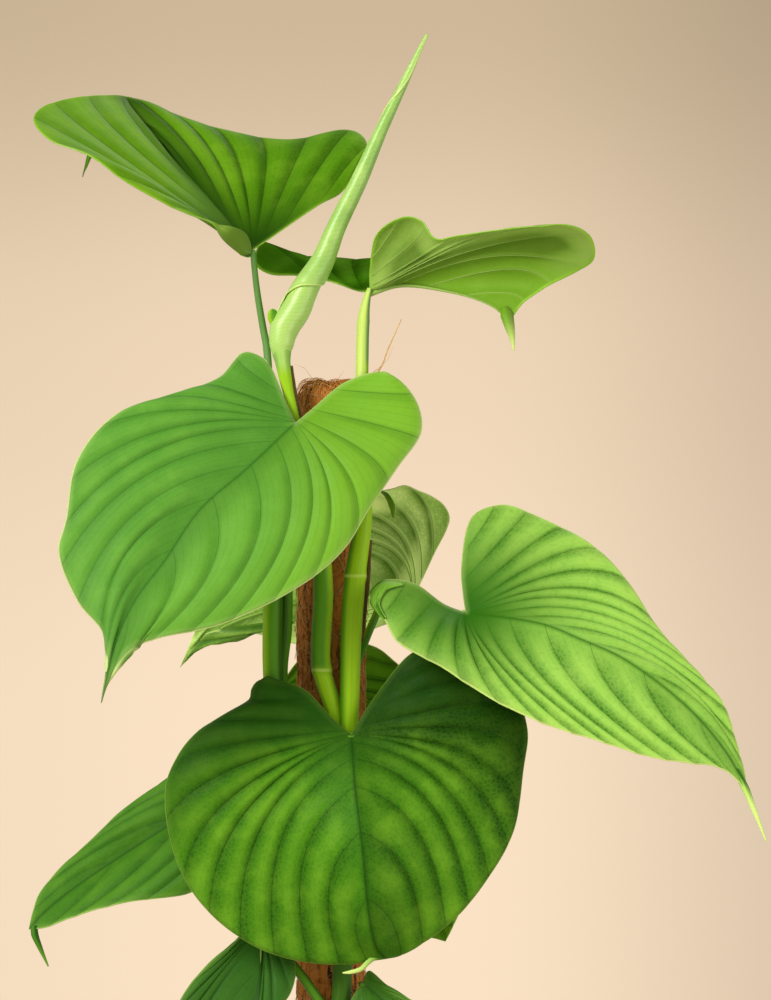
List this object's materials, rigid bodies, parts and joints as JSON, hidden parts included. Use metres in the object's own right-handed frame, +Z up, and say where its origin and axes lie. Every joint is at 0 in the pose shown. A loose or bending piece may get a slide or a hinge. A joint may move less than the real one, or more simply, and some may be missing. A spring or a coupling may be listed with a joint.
{
  "type": "potted climbing philodendron on a coir pole",
  "caption": "Philodendron with large heart-shaped pleated leaves on long stalks, a rolled new leaf and brown cataphyll fibres, climbing a coir pole in a plain terracotta pot",
  "frame": {"origin": "middle of the pot's foot, on the surface that the pot stands on", "axes": "+Z up along the pole, -Y the front of the plant, +X its right as seen from the front"},
  "size_m": [0.4943, 0.2662, 0.9745],
  "materials": {
    "terracotta": "matt unglazed clay",
    "soil": "loose dark potting soil",
    "stake_wood": "raw round wood",
    "coir": "matted coconut fibre",
    "stem": "smooth green stem",
    "rolled_leaf": "smooth waxy new leaf",
    "leaf": "satin leaf",
    "leaf_pale": "satin leaf, pale underside",
    "leaf_dark": "satin leaf",
    "leaf_lime": "satin young leaf",
    "cataphyll": "dry brown fibre"
  },
  "bodies": {
    "root": {"pot": "terracotta", "soil": "soil", "pole_stake": "stake_wood", "coir_sleeve": "coir", "stem": "stem", "rolled_leaf": "rolled_leaf", "leaf_a": "leaf", "leaf_b": "leaf_pale", "leaf_c": "leaf", "leaf_d": "leaf_dark", "leaf_e": "leaf_lime", "leaf_f": "leaf_pale", "leaf_h": "leaf", "leaf_i": "leaf_dark", "leaf_j": "leaf", "leaf_l": "leaf_pale", "cataphyll_high": "cataphyll", "cataphyll_middle": "cataphyll", "cataphyll_low": "cataphyll"}
  },
  "joints": []
}
